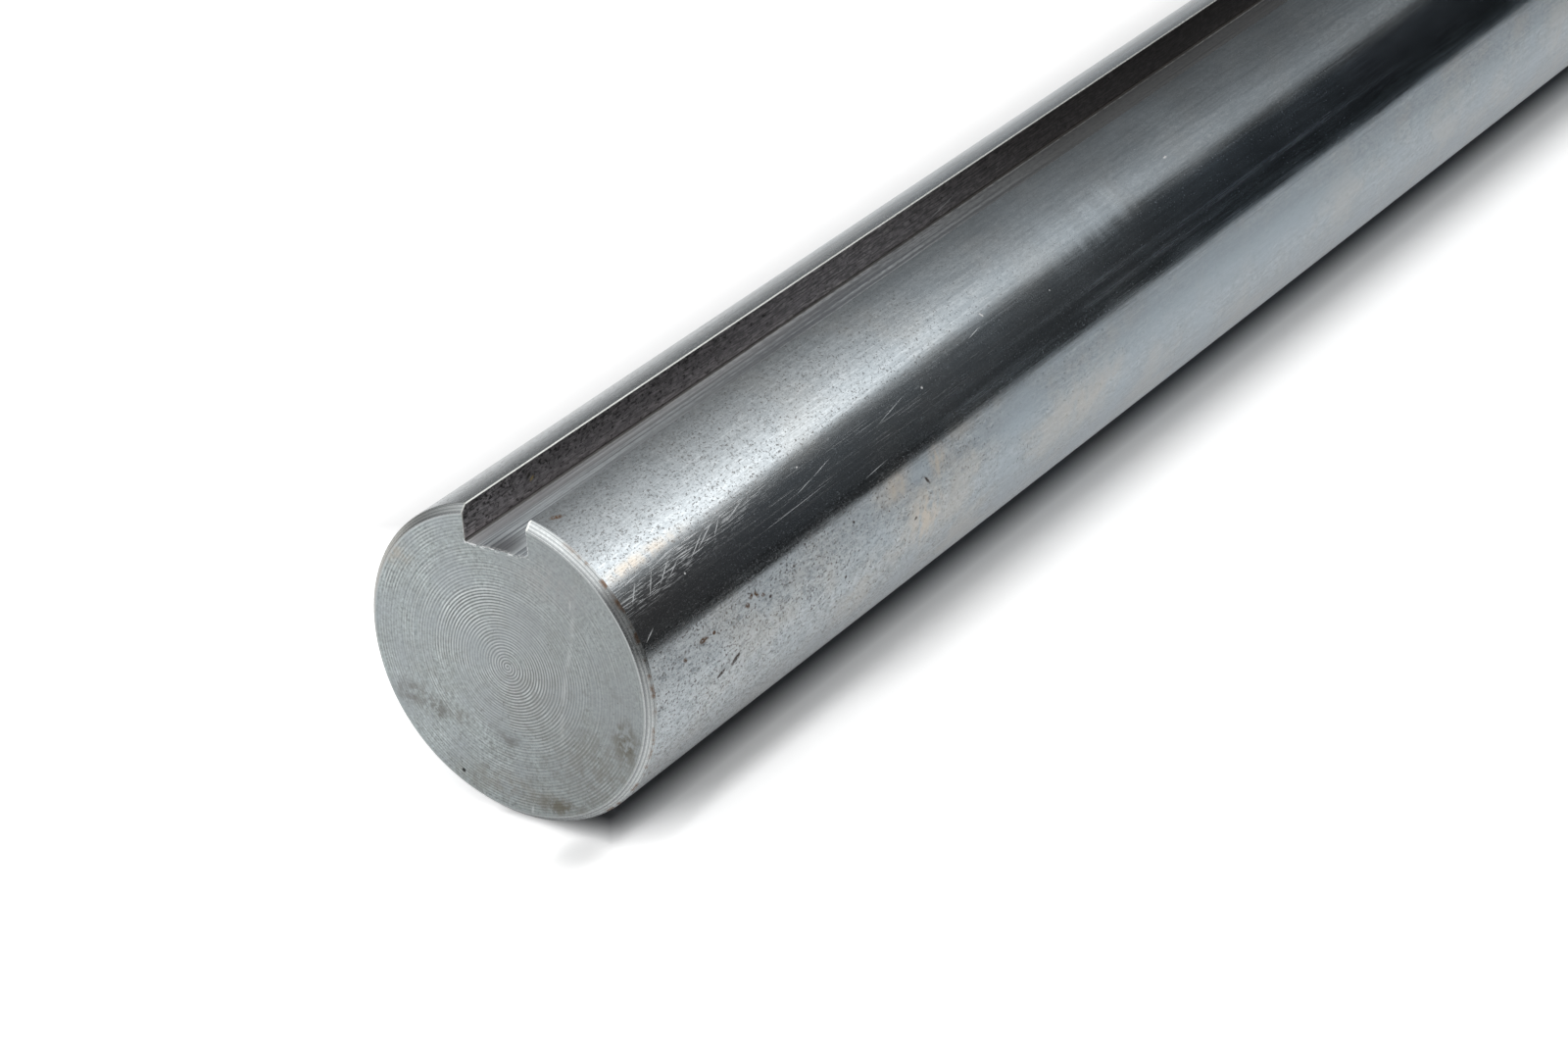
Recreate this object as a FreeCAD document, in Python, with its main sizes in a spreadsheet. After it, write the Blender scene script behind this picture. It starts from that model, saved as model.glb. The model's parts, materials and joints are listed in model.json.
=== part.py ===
import FreeCAD, Part
import math
import os
import Sketcher

# Keyed drive shaft stock: one length of cold-drawn round steel bar with a square-bottomed
# keyway cut along its whole length. The ends are faced and chamfered on a lathe.
# Frame: the origin is on the bar's axis at mid-length, +X runs along the axis, and +Z
# points up through the middle of the keyway. Millimetres.

NODE = "keyed_shaft"

# Driving dimensions: the bar, the keyway for a square key, and the broken edges
SIZES = [
    ("shaft_diameter", 28.575, "1 1/8 in bar"),
    ("stock_length", 304.8, "12 in length"),
    ("end_chamfer", 0.65, "legs of the 45 degree chamfer at each end"),
    ("key_width", 6.35, "1/4 in square key"),
    ("keyway_depth", 3.175, "half the key, measured down the side wall"),
    ("keyway_corner_radius", 0.2, "where the side walls meet the floor"),
    ("keyway_edge_break", 0.1, "legs of the chamfer along the keyway's two top edges"),
]

# How a sketch numbers the ends of a line and its own two axes. Its origin is where the
# horizontal axis starts.
START, END = range(1, 3)
HORIZONTAL_AXIS, VERTICAL_AXIS = range(-1, -3, -1)
ORIGIN_POINT = (HORIZONTAL_AXIS, START)


def make_sheet(document):
    """The sheet of driving dimensions, one named cell to a row."""
    sheet = document.addObject("Spreadsheet::Sheet", "sizes")
    for row, (name, value, note) in enumerate(SIZES, start=1):
        sheet.set(f"A{row}", name)
        sheet.set(f"B{row}", str(value))
        sheet.set(f"C{row}", note)
        sheet.setAlias(f"B{row}", name)
    document.recompute()
    return sheet


def add_sketch(body, name, plane_role):
    """An empty sketch of the body, on one of its own origin planes."""
    plane = next(item for item in body.Origin.OriginFeatures if item.Role == plane_role)
    sketch = body.newObject("Sketcher::SketchObject", name)
    sketch.AttachmentSupport = (plane, [""])
    sketch.MapMode = "FlatFace"
    return sketch


def bind(sketch, name, constraint, expression):
    """Adds a dimension to the sketch under a name, and ties it to the sheet."""
    index = sketch.addConstraint(constraint)
    sketch.renameConstraint(index, name)
    sketch.setExpression(f"Constraints.{name}", expression)


def point(across, up):
    """A point of a sketch, in the sketch's own plane."""
    return FreeCAD.Vector(across, up, 0)


def make_blank(body, sheet):
    """The turned blank: half of its outline along the axis, spun round that axis."""
    radius = sheet.shaft_diameter / 2
    half = sheet.stock_length / 2
    chamfer = sheet.end_chamfer
    corners = [
        point(-half, 0),
        point(-half, radius - chamfer),
        point(-half + chamfer, radius),
        point(half - chamfer, radius),
        point(half, radius - chamfer),
        point(half, 0),
    ]
    outline = add_sketch(body, "blank_outline", "XZ_Plane")
    for start, end in zip(corners, corners[1:] + corners[:1]):
        outline.addGeometry(Part.LineSegment(start, end), False)
    near_face, near_chamfer, side, far_chamfer, far_face, axis = range(len(corners))
    for line in range(len(corners)):
        following = (line + 1) % len(corners)
        outline.addConstraint(Sketcher.Constraint("Coincident", line, END, following, START))
    outline.addConstraint(Sketcher.Constraint("Vertical", near_face))
    outline.addConstraint(Sketcher.Constraint("Vertical", far_face))
    outline.addConstraint(Sketcher.Constraint("Horizontal", side))
    outline.addConstraint(Sketcher.Constraint("Horizontal", axis))
    outline.addConstraint(Sketcher.Constraint("Symmetric", axis, START, axis, END, *ORIGIN_POINT))

    bind(outline, "length", Sketcher.Constraint("DistanceX", axis, END, axis, START, 2 * half),
         "sizes.stock_length")
    bind(outline, "radius", Sketcher.Constraint("DistanceY", *ORIGIN_POINT, side, START, radius),
         "sizes.shaft_diameter / 2")
    for name, line, low, high in (("near", near_chamfer, START, END), ("far", far_chamfer, END, START)):
        bind(outline, name + "_rise", Sketcher.Constraint("DistanceY", line, low, line, high, chamfer),
             "sizes.end_chamfer")
        bind(outline, name + "_run", Sketcher.Constraint("DistanceX", line, START, line, END, chamfer),
             "sizes.end_chamfer")

    blank = body.newObject("PartDesign::Revolution", "turned_blank")
    blank.Profile = outline
    blank.ReferenceAxis = (outline, ["H_Axis"])
    blank.Angle = 360
    return outline, blank


def make_keyway(body, sheet):
    """The keyway: its section across the bar, cut straight through from end to end."""
    radius = sheet.shaft_diameter / 2
    half_width = sheet.key_width / 2
    corner = sheet.keyway_corner_radius
    wall_top = math.sqrt(radius**2 - half_width**2)
    floor = wall_top - sheet.keyway_depth
    above = radius + sheet.key_width

    section = add_sketch(body, "keyway_section", "YZ_Plane")
    upright = FreeCAD.Vector(0, 0, 1)
    quarter = math.pi / 2
    left_round = Part.Circle(point(-half_width + corner, floor + corner), upright, corner)
    right_round = Part.Circle(point(half_width - corner, floor + corner), upright, corner)
    left_wall, left_corner, bottom, right_corner, right_wall, top = range(6)
    section.addGeometry([
        Part.LineSegment(point(-half_width, above), point(-half_width, floor + corner)),
        Part.ArcOfCircle(left_round, 2 * quarter, 3 * quarter),
        Part.LineSegment(point(-half_width + corner, floor), point(half_width - corner, floor)),
        Part.ArcOfCircle(right_round, 3 * quarter, 4 * quarter),
        Part.LineSegment(point(half_width, floor + corner), point(half_width, above)),
        Part.LineSegment(point(half_width, above), point(-half_width, above)),
    ], False)
    for line, following in ((left_wall, left_corner), (left_corner, bottom),
                            (bottom, right_corner), (right_corner, right_wall)):
        section.addConstraint(Sketcher.Constraint("Tangent", line, END, following, START))
    section.addConstraint(Sketcher.Constraint("Coincident", right_wall, END, top, START))
    section.addConstraint(Sketcher.Constraint("Coincident", top, END, left_wall, START))
    section.addConstraint(Sketcher.Constraint("Vertical", left_wall))
    section.addConstraint(Sketcher.Constraint("Vertical", right_wall))
    section.addConstraint(Sketcher.Constraint("Horizontal", bottom))
    section.addConstraint(Sketcher.Constraint("Symmetric", top, START, top, END, VERTICAL_AXIS))
    section.addConstraint(Sketcher.Constraint("Equal", left_corner, right_corner))

    bind(section, "width", Sketcher.Constraint("DistanceX", top, END, top, START, 2 * half_width),
         "sizes.key_width")
    bind(section, "floor_height", Sketcher.Constraint("DistanceY", *ORIGIN_POINT, bottom, START, floor),
         "sqrt((sizes.shaft_diameter / 2)^2 - (sizes.key_width / 2)^2) - sizes.keyway_depth")
    bind(section, "cut_top", Sketcher.Constraint("DistanceY", *ORIGIN_POINT, top, START, above),
         "sizes.shaft_diameter / 2 + sizes.key_width")
    bind(section, "corner_radius", Sketcher.Constraint("Radius", left_corner, corner),
         "sizes.keyway_corner_radius")

    keyway = body.newObject("PartDesign::Pocket", "keyway")
    keyway.Profile = section
    keyway.Type = "ThroughAll"
    keyway.SideType = "Symmetric"
    return section, keyway


def keyway_top_edges(keyway, sheet):
    """Names of the two long edges where the keyway's walls meet the round."""
    half_width = sheet.key_width / 2
    wall_top = math.sqrt((sheet.shaft_diameter / 2) ** 2 - half_width**2)
    close = 0.01
    names = []
    for index, edge in enumerate(keyway.Shape.Edges, start=1):
        middle = edge.CenterOfMass
        if abs(abs(middle.y) - half_width) < close and abs(middle.z - wall_top) < close:
            if edge.Length > sheet.stock_length / 2:
                names.append(f"Edge{index}")
    return names


def break_edges(body, keyway, sheet):
    """The light chamfer filed along both top edges of the keyway."""
    edge_break = body.newObject("PartDesign::Chamfer", "keyway_edge_break")
    edge_break.Base = (keyway, keyway_top_edges(keyway, sheet))
    edge_break.Size = sheet.keyway_edge_break
    edge_break.setExpression("Size", "sizes.keyway_edge_break")
    return edge_break


def check(document, body):
    """Stops if any object failed, or if the body isn't one sound solid."""
    for item in document.Objects:
        if "Invalid" in item.State or "Error" in item.State:
            raise RuntimeError(f"{item.Name} failed: {item.State}")
    shape = body.Shape
    if shape.isNull() or not shape.isValid() or len(shape.Solids) != 1:
        raise RuntimeError("the shaft isn't one valid solid")


document = FreeCAD.newDocument(NODE)
sheet = make_sheet(document)

shaft = document.addObject("PartDesign::Body", NODE)
shaft.Label = NODE

outline, blank = make_blank(shaft, sheet)
document.recompute()
blank_volume = shaft.Shape.Volume

section, keyway = make_keyway(shaft, sheet)
document.recompute()
slot_volume = blank_volume - shaft.Shape.Volume
if slot_volume < sheet.key_width * sheet.keyway_depth * sheet.stock_length / 2:
    raise RuntimeError("the keyway cut too little")

edge_break = break_edges(shaft, keyway, sheet)
document.recompute()
check(document, shaft)
for sketch in (outline, section):
    if not sketch.FullyConstrained:
        raise RuntimeError(f"{sketch.Name} isn't fully constrained")

os.makedirs("parts", exist_ok=True)
shaft.Shape.exportStep(f"parts/{shaft.Label}.step")
print(f"{shaft.Label}: {shaft.Shape.Volume:.1f} mm3, keyway {slot_volume:.1f} mm3")
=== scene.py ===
import json
import math

import bpy
from mathutils import Matrix, Vector


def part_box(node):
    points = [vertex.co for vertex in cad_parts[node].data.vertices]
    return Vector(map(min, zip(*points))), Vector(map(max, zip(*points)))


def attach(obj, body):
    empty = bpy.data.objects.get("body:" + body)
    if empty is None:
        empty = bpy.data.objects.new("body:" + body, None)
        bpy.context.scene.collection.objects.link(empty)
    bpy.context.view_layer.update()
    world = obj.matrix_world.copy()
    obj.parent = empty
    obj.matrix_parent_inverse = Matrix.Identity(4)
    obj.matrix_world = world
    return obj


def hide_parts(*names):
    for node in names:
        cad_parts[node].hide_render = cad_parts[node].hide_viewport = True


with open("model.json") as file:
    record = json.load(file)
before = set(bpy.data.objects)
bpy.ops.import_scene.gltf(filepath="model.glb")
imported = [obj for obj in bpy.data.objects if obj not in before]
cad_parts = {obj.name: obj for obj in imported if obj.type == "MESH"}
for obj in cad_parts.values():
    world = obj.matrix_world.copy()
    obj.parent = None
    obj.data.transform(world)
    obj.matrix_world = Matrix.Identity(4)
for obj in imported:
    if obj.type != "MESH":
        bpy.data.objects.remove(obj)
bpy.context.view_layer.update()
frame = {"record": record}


# The camera stands low on the left of the shaft's near end and looks along the bar with a
# long portrait lens, tipped a few degrees, so that the bar runs up to the right.
MM = 0.001
CAMERA_PLACE = Vector((-0.40219, -0.20795, 0.17971))
CAMERA_HEADING = math.radians(35.72)
CAMERA_DOWN = math.radians(27.433)
CAMERA_ROLL = math.radians(3.70)
CAMERA_LENS = 105.48
CAMERA_FILM = 36.0
SEEN_FROM = 0.01
SEEN_TO = 100.0

bpy.ops.object.select_all(action="DESELECT")
bpy.ops.object.camera_add(location=CAMERA_PLACE)
camera = bpy.context.object
camera.name = "camera"
camera.data.sensor_width = CAMERA_FILM
camera.data.lens = CAMERA_LENS
camera.data.clip_start = SEEN_FROM
camera.data.clip_end = SEEN_TO
heading = Matrix.Rotation(CAMERA_HEADING - math.pi / 2, 3, "Z")
tilt = Matrix.Rotation(math.pi / 2 - CAMERA_DOWN, 3, "X")
roll = Matrix.Rotation(-CAMERA_ROLL, 3, "Z")
camera.rotation_euler = (heading @ tilt @ roll).to_euler()
bpy.context.scene.camera = camera
bpy.context.scene.view_settings.view_transform = "Standard"


# The shaft's blank is cold-drawn round steel bar. Both ends are faced and chamfered on a
# lathe, and handling has rounded the chamfers' outer edges more than their inner ones.
journal = next(mount for mount in frame["record"]["mounts"] if mount["name"] == "journal")
NODE = "keyed_shaft"
low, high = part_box(NODE)
SHAFT_RADIUS = -low.z
SHAFT_HALF = high.x
END_CHAMFER = SHAFT_HALF - journal["dims"]["length_mm"] * MM / 2
SIDES = 256
INNER_ROUND = 0.04 * MM
OUTER_ROUND = 0.14 * MM
ROUND_STEPS = 4
CLOSE = 0.001 * MM
RING_REACH = 0.02 * MM


def pick_out(piece):
    """Selects one piece alone and makes it the one that is worked on."""
    bpy.ops.object.select_all(action="DESELECT")
    piece.select_set(True)
    bpy.context.view_layer.objects.active = piece


def bevel_edges(piece, width, steps, wanted):
    """Bevels the edges of a piece whose two end points pass a test."""
    pick_out(piece)
    bpy.ops.object.mode_set(mode="EDIT")
    bpy.ops.mesh.select_mode(type="EDGE")
    bpy.ops.mesh.select_all(action="DESELECT")
    bpy.ops.object.mode_set(mode="OBJECT")
    points = piece.data.vertices
    for edge in piece.data.edges:
        first, second = edge.vertices
        edge.select = wanted(points[first].co, points[second].co)
    bpy.ops.object.mode_set(mode="EDIT")
    bpy.ops.mesh.bevel(offset=width, offset_type="OFFSET", segments=steps, affect="EDGES")
    bpy.ops.object.mode_set(mode="OBJECT")


def on_ring(point, radius):
    """True for a point this far from the shaft's axis."""
    return abs(math.hypot(point.y, point.z) - radius) < RING_REACH


def along_the_bar(first, second):
    """True for an edge that runs along the bar."""
    return abs(first.x - second.x) > CLOSE


bpy.ops.object.select_all(action="DESELECT")
bpy.ops.mesh.primitive_cylinder_add(vertices=SIDES, radius=SHAFT_RADIUS, depth=2 * SHAFT_HALF,
                                    end_fill_type="NGON", rotation=(0, math.pi / 2, 0))
shaft = bpy.context.object
shaft.name = shaft.data.name = "shaft"
bpy.ops.object.transform_apply(location=True, rotation=True, scale=True)

bevel_edges(shaft, END_CHAMFER, 1, lambda first, second: not along_the_bar(first, second))
for radius, width in ((SHAFT_RADIUS - END_CHAMFER, INNER_ROUND), (SHAFT_RADIUS, OUTER_ROUND)):
    bevel_edges(shaft, width, ROUND_STEPS, lambda first, second: (
        not along_the_bar(first, second) and on_ring(first, radius) and on_ring(second, radius)))


# The keyway is milled straight through the blank from end to end, for a square key sunk by
# half its height. Its floor meets the walls in small rounds, and its edges are broken.
KEY_WIDTH = 6.35 * MM
KEYWAY_DEPTH = KEY_WIDTH / 2
WALL_TOP = math.sqrt(SHAFT_RADIUS**2 - (KEY_WIDTH / 2) ** 2)
KEYWAY_FLOOR = WALL_TOP - KEYWAY_DEPTH
FLOOR_CORNER = 0.2 * MM
TOP_BREAK = 0.1 * MM
BREAK_FOOT = WALL_TOP - TOP_BREAK
BREAK_TOP = math.sqrt(SHAFT_RADIUS**2 - (KEY_WIDTH / 2 + TOP_BREAK) ** 2)
FLARE_RISE = 4 * MM
FLARE_WIDTH = KEY_WIDTH + 2 * FLARE_RISE * TOP_BREAK / (BREAK_TOP - BREAK_FOOT)
CUTTER_OVERRUN = 5 * MM
SQUARE_ON = 0.9
SMOOTH_BELOW = math.radians(25)
LARGE_FACES_FIRST = 100

bpy.ops.object.select_all(action="DESELECT")
bpy.ops.mesh.primitive_cube_add(size=1, location=(0, 0, (KEYWAY_FLOOR + BREAK_FOOT) / 2))
cutter = bpy.context.object
cutter.scale = (2 * (SHAFT_HALF + CUTTER_OVERRUN), KEY_WIDTH, BREAK_FOOT - KEYWAY_FLOOR)
bpy.ops.object.transform_apply(location=True, rotation=True, scale=True)
bevel_edges(cutter, FLOOR_CORNER, ROUND_STEPS, lambda first, second: (
    along_the_bar(first, second) and first.z < KEYWAY_FLOOR + CLOSE))

# The cutter flares from just below the top of the walls, and so breaks their edges
bpy.ops.object.mode_set(mode="EDIT")
bpy.ops.mesh.select_mode(type="FACE")
bpy.ops.mesh.select_all(action="DESELECT")
bpy.ops.object.mode_set(mode="OBJECT")
for polygon in cutter.data.polygons:
    polygon.select = polygon.normal.z > SQUARE_ON
bpy.ops.object.mode_set(mode="EDIT")
bpy.ops.mesh.extrude_region_move(TRANSFORM_OT_translate={"value": (0, 0, FLARE_RISE)})
bpy.ops.transform.resize(value=(1, FLARE_WIDTH / KEY_WIDTH, 1), center_override=(0, 0, 0))
bpy.ops.object.mode_set(mode="OBJECT")

pick_out(shaft)
cut = shaft.modifiers.new("keyway", "BOOLEAN")
cut.operation = "DIFFERENCE"
cut.solver = "EXACT"
cut.object = cutter
bpy.ops.object.modifier_apply(modifier=cut.name)
bpy.data.objects.remove(cutter)

# Smooth shading, with every broad surface kept truly flat or truly round up to its edges
pick_out(shaft)
bpy.ops.object.shade_smooth_by_angle(angle=SMOOTH_BELOW)
level = shaft.modifiers.new("true_surfaces", "WEIGHTED_NORMAL")
level.mode = "FACE_AREA"
level.weight = LARGE_FACES_FIRST
level.keep_sharp = True
bpy.ops.object.modifier_apply(modifier=level.name)
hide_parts(NODE)
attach(shaft, "root")


# The drawn round is the bar as the mill drew it: bright cold-drawn steel with fine lines
# along it from the die. Its near end is pitted, scuffed and lightly stained from handling.
class Finish:
    """The nodes of one finish, with short ways to add more of them."""

    def __init__(self, owner):
        owner.use_nodes = True
        self.owner = owner
        self.tree = owner.node_tree

    def add(self, kind, settings=None, **inputs):
        """Adds a node with its settings, and with numbers or other nodes' outputs put in."""
        node = self.tree.nodes.new(kind)
        for name, value in (settings or {}).items():
            setattr(node, name, value)
        for name, value in inputs.items():
            self.put(node.inputs[name.replace("_", " ")], value)
        return node

    def put(self, socket, value):
        """Sets a socket to a number or colour, or joins another node's output to it."""
        if isinstance(value, bpy.types.NodeSocket):
            self.tree.links.new(value, socket)
        else:
            socket.default_value = value

    def surface(self, **inputs):
        """Puts values into the finish's own surface shader."""
        shader = self.tree.nodes["Principled BSDF"]
        for name, value in inputs.items():
            self.put(shader.inputs[name.replace("_", " ")], value)

    def math(self, operation, *values):
        """Works out one number from others."""
        node = self.add("ShaderNodeMath", {"operation": operation})
        for socket, value in zip(node.inputs, values):
            self.put(socket, value)
        return node.outputs["Value"]

    def total(self, operation, values):
        """Runs one operation through a whole list of numbers."""
        result = values[0]
        for value in values[1:]:
            result = self.math(operation, result, value)
        return result

    def times(self, *values):
        """Multiplies numbers together."""
        return self.total("MULTIPLY", values)

    def plus(self, *values):
        """Adds numbers up."""
        return self.total("ADD", values)

    def most(self, *values):
        """The largest of some numbers."""
        return self.total("MAXIMUM", values)

    def length(self, first, second):
        """How long a line is that runs this far along two axes."""
        return self.math("SQRT", self.plus(self.math("POWER", first, 2.0), self.math("POWER", second, 2.0)))

    def ramp(self, value, *stops):
        """Turns a number into another by straight steps: each stop is (number in, number out)."""
        start, end = stops[0][0], stops[-1][0]
        share = self.add("ShaderNodeMapRange", Value=value, From_Min=start, From_Max=end)
        node = self.add("ShaderNodeValToRGB", Fac=share.outputs["Result"])
        elements = node.color_ramp.elements
        while len(elements) < len(stops):
            elements.new(0.5)
        for element, (number, result) in zip(elements, stops):
            element.position = (number - start) / (end - start)
            element.color = (result, result, result, 1)
        return node.outputs["Color"]

    def blend(self, share, first, second):
        """Mixes two colours by a share from 0 to 1."""
        node = self.add("ShaderNodeMix", {"data_type": "RGBA"})
        for index, value in ((0, share), (6, first), (7, second)):
            self.put(node.inputs[index], value)
        return node.outputs[2]

    def noise(self, place, size, detail=2.0, stretch=(1, 1, 1), turn=0.0, broken=0.5):
        """Cloudy noise from 0 to 1. Its lumps are about this size, drawn out along each axis."""
        scale = [1 / (size * factor) for factor in stretch]
        spread = self.add("ShaderNodeMapping", Vector=place, Rotation=(0, 0, math.radians(turn)), Scale=scale)
        node = self.add("ShaderNodeTexNoise", Vector=spread.outputs["Vector"], Scale=1.0, Detail=detail,
                        Roughness=broken)
        return node.outputs["Fac"]

    def spot(self, place, centre, size, turn=0.0, edge=0.9):
        """One oval mark, 1 inside and 0 outside. Size is its half lengths; edge is how soft it is."""
        local = self.add("ShaderNodeMapping", {"vector_type": "TEXTURE"}, Vector=place,
                         Location=(*centre, 0), Rotation=(0, 0, math.radians(turn)), Scale=(*size, 1))
        away = self.add("ShaderNodeVectorMath", {"operation": "LENGTH"})
        self.put(away.inputs[0], local.outputs["Vector"])
        fade = self.add("ShaderNodeMapRange", {"interpolation_type": "SMOOTHSTEP"}, From_Min=1 - edge,
                        From_Max=1.0, To_Min=1.0, To_Max=0.0, Value=away.outputs["Value"])
        return fade.outputs["Result"]

    def relief(self, *layers):
        """Bumps laid over each other. Each layer is (a height from 0 to 1, its size in metres)."""
        normal = None
        for height, size in layers:
            node = self.add("ShaderNodeBump", Distance=size, Height=height)
            if normal:
                self.put(node.inputs["Normal"], normal)
            normal = node.outputs["Normal"]
        return normal


STEEL_DARK = (0.395, 0.43, 0.448, 1)
STEEL_LIGHT = (0.67, 0.715, 0.738, 1)
DIE_LINE = (0.395, 0.43, 0.45, 1)
DARK_LINE = (0.34, 0.375, 0.395, 1)
COARSE_GRAIN = (0.28, 0.31, 0.325, 1)
TAN_TINT = (0.59, 0.555, 0.50, 1)
BLUE_TINT = (0.43, 0.50, 0.555, 1)
FAR_TINT = (0.42, 0.49, 0.545, 1)
PAINTED_BAND_GREY = (0.25, 0.255, 0.265, 1)
PAINTED_BAND_BLUE = (0.30, 0.38, 0.46, 1)
TAN_STAIN = (0.61, 0.56, 0.49, 1)
RUST = (0.17, 0.105, 0.065, 1)
PIT = (0.08, 0.06, 0.05, 1)
TICK = (0.85, 0.85, 0.85, 1)
SCRATCH = (0.85, 0.87, 0.88, 1)
SPECKS_GROW = 1.25

# Each mark is (mm from the near end, degrees round from the keyway, half length, half width, turn)
RUST_SPECKS = [(2.5, 18, 0.7, 0.25, 20), (14.1, 80, 0.35, 0.25, 40), (14.8, 78, 0.3, 0.2, -30),
               (15.5, 78.6, 0.4, 0.2, 50), (16.3, 80.2, 0.3, 0.18, 30), (9.3, 80.6, 0.25, 0.2, 0),
               (5.1, 82.5, 0.3, 0.2, 30), (7.8, 80.5, 0.7, 0.25, 0)]
DARK_SPECKS = [(11.8, 95, 0.75, 0.3, -25), (9.7, 96.5, 0.7, 0.2, -15), (28.0, 96, 0.2, 0.18, 0),
               (17.2, 82.5, 0.22, 0.16, 0), (41.0, 83, 0.6, 0.16, 55), (29.9, 78.8, 0.2, 0.14, 30),
               (38.9, 94, 0.25, 0.2, 0), (21.0, 78.5, 0.2, 0.15, 0)]
WHITE_TICKS = [(8.6, 58, 0.16, 0.14, 0), (26.2, 51.4, 0.18, 0.12, 0), (44.7, 54.4, 0.2, 0.15, 0),
               (56.6, 46, 0.35, 0.14, 60), (66.2, 53, 0.12, 0.1, 0), (91.4, 38, 0.35, 0.12, 0)]
SCRATCHES = [(2.5, 53.8, 1.65, 0.08, -41), (4.7, 54.3, 1.75, 0.08, -45), (6.6, 53.9, 2.3, 0.08, -30),
             (7.9, 54.3, 1.5, 0.07, -24), (11.3, 53.0, 2.2, 0.08, -25), (12.7, 52.0, 2.3, 0.08, -21),
             (14.4, 52.0, 1.3, 0.08, -32), (17.1, 51.0, 2.2, 0.07, -14), (2.0, 67.6, 1.2, 0.09, -26),
             (3.1, 49.5, 2.0, 0.08, -4), (8.2, 49.3, 1.9, 0.07, -3), (28.6, 56.4, 2.5, 0.05, -9),
             (25.8, 58.0, 2.2, 0.05, -8), (34.8, 68.0, 2.8, 0.05, -4), (23.9, 62.0, 8.4, 0.04, -1),
             (39.8, 54.4, 3.8, 0.04, -9), (54.4, 49.6, 1.6, 0.05, -8)]
SOFT_LINES = [(72.0, 60.6, 34.0, 0.55, 0), (105.0, 62.0, 45.0, 0.55, 0), (80.0, 65.8, 26.0, 0.60, 0),
              (52.0, 68.5, 22.0, 0.60, 0), (46.0, 63.0, 16.0, 0.60, 0),
              (30.0, 58.5, 22.0, 0.10, 0), (36.0, 64.5, 20.0, 0.10, 0)]
TAN_STAINS = [(5.0, 45.5, 9.0, 0.9, 0), (36.7, 78, 2.0, 1.8, 0), (43.0, 79, 1.8, 2.4, 0),
              (40.5, 96, 4.0, 4.0, 0)]
FAINT_STAINS = [(68.0, 97, 9.0, 3.5, 0)]
BLUE_STAINS = [(40.0, 78, 2.6, 1.8, 0), (56.0, 84, 9.0, 3.5, 0), (96.0, 86, 38.0, 3.6, 0)]


def on_round(millimetres, degrees):
    """A place on the unrolled round, from its distance along and its angle round."""
    return millimetres * MM - SHAFT_HALF, math.radians(degrees) * SHAFT_RADIUS


drawn = Finish(bpy.data.materials.new("drawn_round"))
place = drawn.add("ShaderNodeTexCoord").outputs["Object"]
along, across, up = drawn.add("ShaderNodeSeparateXYZ", Vector=place).outputs
around = drawn.math("ARCTAN2", drawn.times(across, -1.0), up)
unrolled = drawn.add("ShaderNodeCombineXYZ", X=along, Y=drawn.times(around, SHAFT_RADIUS)).outputs["Vector"]

# Two places in plain mm: along the bar from its near end, and round it from the keyway's middle
BAR_END = 2 * SHAFT_HALF / MM
from_near = drawn.math("MULTIPLY_ADD", along, 1 / MM, SHAFT_HALF / MM)
from_top = drawn.times(around, SHAFT_RADIUS / MM)


def marks(places, grow=1.0, edge=0.6):
    """All the marks of one list, 1 on a mark and 0 off it."""
    spots = []
    for millimetres, degrees, half_length, half_width, turn in places:
        size = (half_length * grow * MM, half_width * grow * MM)
        spots.append(drawn.spot(unrolled, on_round(millimetres, degrees), size, turn, edge))
    return drawn.most(*spots)


# The steel itself: die lines, a fine grain, and a coarser one beside the keyway and low down
die_lines = drawn.noise(place, 0.13 * MM, 3, stretch=(60, 1, 1), broken=0.6)
grain = drawn.noise(place, 0.24 * MM, 5, stretch=(3.2, 1, 1), broken=0.78)
steel = drawn.blend(drawn.ramp(grain, (0.35, 0), (0.65, 1)), STEEL_DARK, STEEL_LIGHT)
steel = drawn.blend(drawn.ramp(die_lines, (0.35, 0), (0.65, 0.5)), steel, DIE_LINE)
coarse = drawn.noise(place, 0.40 * MM, 6, stretch=(2, 1, 1), broken=0.80)
coarse = drawn.ramp(coarse, (0.49, 0), (0.61, 0.9))
coarsened = drawn.ramp(from_top, (3, 0.5), (10, 0.5), (13, 0), (17, 0), (20, 1), (40, 1))
brighter = drawn.ramp(from_near, (0, 0.42), (30, 0.25), (50, 0.0), (BAR_END, 0.0))
steel = drawn.blend(drawn.times(coarsened, brighter), steel, STEEL_LIGHT)
steel = drawn.blend(drawn.times(coarse, coarsened), steel, COARSE_GRAIN)

# Darker lines from the die, which the scuffed near end has lost
dark_lines = drawn.noise(place, 0.42 * MM, 5, stretch=(22, 1, 1), broken=0.76)
dark_lines = drawn.ramp(dark_lines, (0.46, 0), (0.60, 0.75))
further = drawn.ramp(from_near, (12, 0), (55, 1), (BAR_END, 1))
steel = drawn.blend(drawn.times(dark_lines, further), steel, DARK_LINE)

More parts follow.
